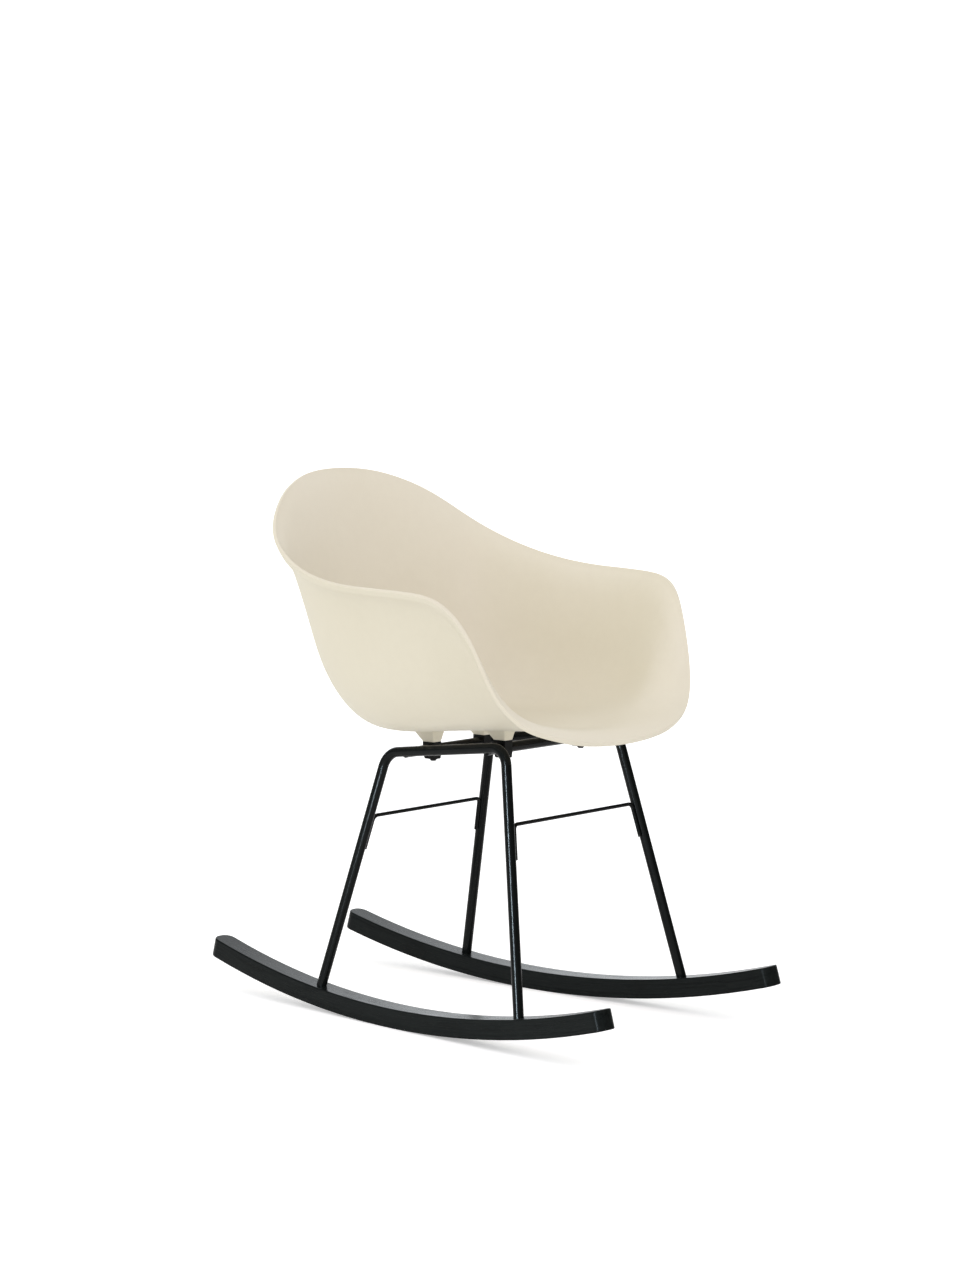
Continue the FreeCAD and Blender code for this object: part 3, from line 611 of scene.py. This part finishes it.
def round_rect(hx0, hx1, hy0, hy1, rad, n=6):
    """points round a rectangle with rounded corners, counter-clockwise; straight sides divided"""
    out = []
    for cx, cy, a0 in ((hx1 - rad, hy1 - rad, 0), (hx0 + rad, hy1 - rad, 90), (hx0 + rad, hy0 + rad, 180),
                       (hx1 - rad, hy0 + rad, 270)):
        for i in range(n + 1):
            a = math.radians(a0 + 90.0 * i / n)
            out.append((cx + rad * math.cos(a), cy + rad * math.sin(a)))
    full = []
    for i, p in enumerate(out):
        q = out[(i + 1) % len(out)]
        full.append(p)
        if i % (n + 1) == n:
            for k in range(1, 6):
                full.append((p[0] + (q[0] - p[0]) * k / 6.0, p[1] + (q[1] - p[1]) * k / 6.0))
    return np.array(full)


MOUNTS = [(60.0, 28.0, 430.0), (-60.0, 28.0, 430.0), (92.0, -147.5, 450.6), (-92.0, -147.5, 450.6)]
BOSS_OUT, BOSS_REAR, BOSS_FRONT = 0.30, 0.97, 0.20


def boss_loops(x, y, z0):
    """pedestal under the seat; its sides sweep out into the underside of the shell"""
    low = round_rect(-9.0, 9.0, -9.0, 14.0, 1.6)
    o = np.array([x, y])
    b3 = np.column_stack([low + o, np.full(len(low), z0)])
    flare = np.column_stack([BOSS_OUT * low[:, 0] / 9.0, np.where(low[:, 1] > 2.5, BOSS_REAR, BOSS_FRONT)
                             * (low[:, 1] - 2.5) / 11.5, np.ones(len(low))])
    # where each side line meets the underside
    t = np.full(len(low), 20.0)
    for _ in range(14):
        p = b3 + flare * t[:, None]
        t = t - (p[:, 2] - under(p[:, :2])) * 0.8
    hit = b3 + flare * t[:, None]
    length = np.linalg.norm(hit - b3, axis=1)
    steep = 1.0 / np.linalg.norm(flare, axis=1)
    rad = np.minimum(3.4 * steep, length * 0.5)
    start = hit - unit(flare) * rad[:, None]
    out = unit(flare[:, :2] + unit(low - [0.0, 2.5]) * 0.3)
    endxy = hit[:, :2] + out * rad[:, None]
    end = np.column_stack([endxy, under(endxy) + 0.30])
    chamfer = 0.5
    inset = round_rect(-9.0 + chamfer, 9.0 - chamfer, -9.0 + chamfer, 14.0 - chamfer, 1.1)
    i3 = np.column_stack([inset + o, np.full(len(inset), z0)])
    loops = [i3, b3 * 0.35 + i3 * 0.65 + [0, 0, 0.12]]
    first = b3 + unit(flare) * chamfer
    loops.append(first)
    for k in range(1, 6):
        loops.append(first + (start - first) * (k / 5.0))
    for k in range(1, 9):
        s = k / 8.0
        loops.append(start * (1 - s) ** 2 + hit * 2 * s * (1 - s) + end * s ** 2)
    loops.append(np.column_stack([endxy * 0.94 + o * 0.06, under(endxy) + 1.6]))
    return [put(q) for q in loops]


def build_shell():
    ncol = 320
    cols = np.arange(ncol) * NCOL / ncol
    k_in = np.linspace(0.0, 1.0, 90)[1:]
    k_rim = np.linspace(0.0, 1.0, 37)[1:-1]
    k_out = np.linspace(1.0, 0.0, 90)[:-1]
    pts = shell_rings(cols, k_in, k_rim, k_out)          # ncol x rings x 3
    nr = pts.shape[1]
    verts = put(pts.transpose(1, 0, 2).reshape(-1, 3))
    top = put(grid(INNER, K8, [0.0], [0.0])[0, 0])
    bot = put(grid(OUTER, K8, [0.0], [0.0])[0, 0])
    verts = np.vstack([verts, top, bot])
    it, ib = nr * ncol, nr * ncol + 1
    faces = []
    for r in range(nr - 1):
        for c in range(ncol):
            d = (c + 1) % ncol
            faces.append((r * ncol + c, r * ncol + d, (r + 1) * ncol + d, (r + 1) * ncol + c))
    for c in range(ncol):
        d = (c + 1) % ncol
        faces.append((it, d, c))
        faces.append((ib, (nr - 1) * ncol + c, (nr - 1) * ncol + d))
    ob = mesh_object("seat_shell_skin", verts, faces, MATS["shell_plastic"])
    fix_normals(ob)
    bosses = [loops_mesh("boss_%d" % i, boss_loops(*m), MATS["shell_plastic"]) for i, m in enumerate(MOUNTS)]
    bm = bmesh.new()
    for b in bosses:
        bm.from_mesh(b.data)
    bm.to_mesh(bosses[0].data)
    bm.free()
    mod = ob.modifiers.new("boss", "BOOLEAN")
    mod.operation = "UNION"
    mod.solver = "EXACT"
    mod.object = bosses[0]
    dg = bpy.context.evaluated_depsgraph_get()
    me = bpy.data.meshes.new_from_object(ob.evaluated_get(dg))
    ob.modifiers.clear()
    ob.data = me
    for b in bosses:
        bpy.data.objects.remove(b)
    me.polygons.foreach_set("use_smooth", [True] * len(me.polygons))
    return ob


shell = build_shell()
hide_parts("seat_shell")
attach(shell, "root")

# ================================================================ stage
def floor_material():
    m = Mat("studio_floor")
    co = m.coords()
    a = m.noise(co, 1.3, 3.0, 0.5)
    m.set(Base_Color=m.ramp(a, [(0.3, (0.90, 0.90, 0.90)), (0.7, (0.92, 0.92, 0.92))]),
          Roughness=m.range(a, 0.3, 0.7, 0.85, 0.92))
    m.bsdf.inputs["Specular IOR Level"].default_value = 0.1
    m.bsdf.inputs["Emission Color"].default_value = (1.0, 1.0, 1.0, 1.0)
    path = m.nt.nodes.new("ShaderNodeLightPath")
    m.link(m.math("ADD", m.math("MULTIPLY", path.outputs["Is Camera Ray"], 0.30), 0.10),
           m.bsdf.inputs["Emission Strength"])
    return m.mat


def build_floor():
    r, n = 60.0, 96
    verts = [(0.0, 0.0, 0.0)] + [(r * math.cos(2 * math.pi * i / n), r * math.sin(2 * math.pi * i / n), 0.0)
                                 for i in range(n)]
    faces = [(0, 1 + i, 1 + (i + 1) % n) for i in range(n)]
    ob = mesh_object("studio_floor", verts, faces, floor_material())
    return ob


floor = build_floor()

def build_world():
    """white studio: seen white by the camera, softly graded for the chair, dimmer in reflections"""
    world = bpy.data.worlds.new("studio")
    bpy.context.scene.world = world
    world.use_nodes = True
    nt = world.node_tree
    nt.nodes.clear()
    new, link = nt.nodes.new, nt.links.new
    out = new("ShaderNodeOutputWorld")
    tc = new("ShaderNodeTexCoord")

    def lobe(direction, lo, hi, v0, v1):
        dot = new("ShaderNodeVectorMath")
        dot.operation = "DOT_PRODUCT"
        link(tc.outputs["Generated"], dot.inputs[0])
        dot.inputs[1].default_value = Vector(direction).normalized()
        rng = new("ShaderNodeMapRange")
        rng.interpolation_type = "SMOOTHSTEP"
        link(dot.outputs["Value"], rng.inputs["Value"])
        for k, x in zip(("From Min", "From Max", "To Min", "To Max"), (lo, hi, v0, v1)):
            rng.inputs[k].default_value = x
        return rng.outputs[0]

    def plus(a, b):
        n = new("ShaderNodeMath")
        n.operation = "ADD"
        link(a, n.inputs[0])
        link(b, n.inputs[1])
        return n.outputs[0]

    def background(strength, color):
        n = new("ShaderNodeBackground")
        n.inputs[0].default_value = (*color, 1.0)
        if hasattr(strength, "is_output"):
            link(strength, n.inputs[1])
        else:
            n.inputs[1].default_value = strength
        return n.outputs[0]

    soft = plus(lobe((0.0, 0.0, 1.0), -0.1, 1.0, WORLD_LOW, WORLD_TOP), lobe((-0.9, 0.35, 0.25), -0.2, 1.0, 0.0, WORLD_SIDE))
    glossy = plus(lobe((-0.8, 0.2, 0.5), 0.2, 1.0, GLOSS_LOW, GLOSS_SIDE),
                  lobe((0.75, 0.66, 0.12), 0.55, 0.98, 0.0, GLOSS_FAR))
    path = new("ShaderNodeLightPath")
    m1, m2 = new("ShaderNodeMixShader"), new("ShaderNodeMixShader")
    link(path.outputs["Is Glossy Ray"], m1.inputs[0])
    link(background(soft, (1.0, 1.0, 1.0)), m1.inputs[1])
    link(background(glossy, (0.93, 0.97, 1.0)), m1.inputs[2])
    link(path.outputs["Is Camera Ray"], m2.inputs[0])
    link(m1.outputs[0], m2.inputs[1])
    link(background(1.2, (1.0, 1.0, 1.0)), m2.inputs[2])
    link(m2.outputs[0], out.inputs["Surface"])


WORLD_LOW, WORLD_TOP, WORLD_SIDE = 0.79, 0.94, 0.42
GLOSS_LOW, GLOSS_SIDE, GLOSS_FAR = 0.06, 0.4, 1.9
build_world()


def area(name, loc, target, size, power, color=(1.0, 1.0, 1.0)):
    d = bpy.data.lights.new(name, "AREA")
    d.shape = "RECTANGLE"
    d.size, d.size_y = size
    d.energy = power
    d.color = color
    o = bpy.data.objects.new(name, d)
    bpy.context.scene.collection.objects.link(o)
    o.location = loc
    o.rotation_euler = (Vector(target) - Vector(loc)).to_track_quat("-Z", "Y").to_euler()
    return o


# narrow strips that only the black parts mirror: bright on the tubes, faint on the rockers
def strip(name, power, keys):
    light = area(name, (-2.05, -0.52, 0.60), (0.0, -0.18, 0.60), (0.09, 1.2), power, (0.72, 0.88, 1.0))
    parts = bpy.data.collections.new(name + "_parts")
    for ob in bpy.data.objects:
        if ob.type == "MESH" and any(k in ob.name for k in keys):
            parts.objects.link(ob)
    light.light_linking.receiver_collection = parts


strip("tube_strip", 120.0, ("side_frame", "stretcher", "cross_tube"))
strip("rocker_strip", 32.0, ("left_rocker", "right_rocker"))
front_fill = area("front_fill", (-0.7, -2.6, 2.3), (0.0, 0.25, 0.78), (0.5, 0.5), 1.3, (0.90, 0.72, 1.0))
front_fill.data.spread = math.radians(60.0)

# ================================================================ camera
cam_data = bpy.data.cameras.new("camera")
cam_data.sensor_width = 36.0
cam_data.lens = 2976.74 * 36.0 / 1280.0
cam_data.clip_end = 200.0
cam = bpy.data.objects.new("camera", cam_data)
bpy.context.scene.collection.objects.link(cam)
cam.location = (-3.5059, -3.0834, 1.0296)
cam.rotation_euler = (math.pi / 2 - 0.0941, 0.0, -0.8498)
bpy.context.scene.camera = cam

bpy.context.scene.view_settings.view_transform = "Standard"
bpy.context.scene.view_settings.look = "None"
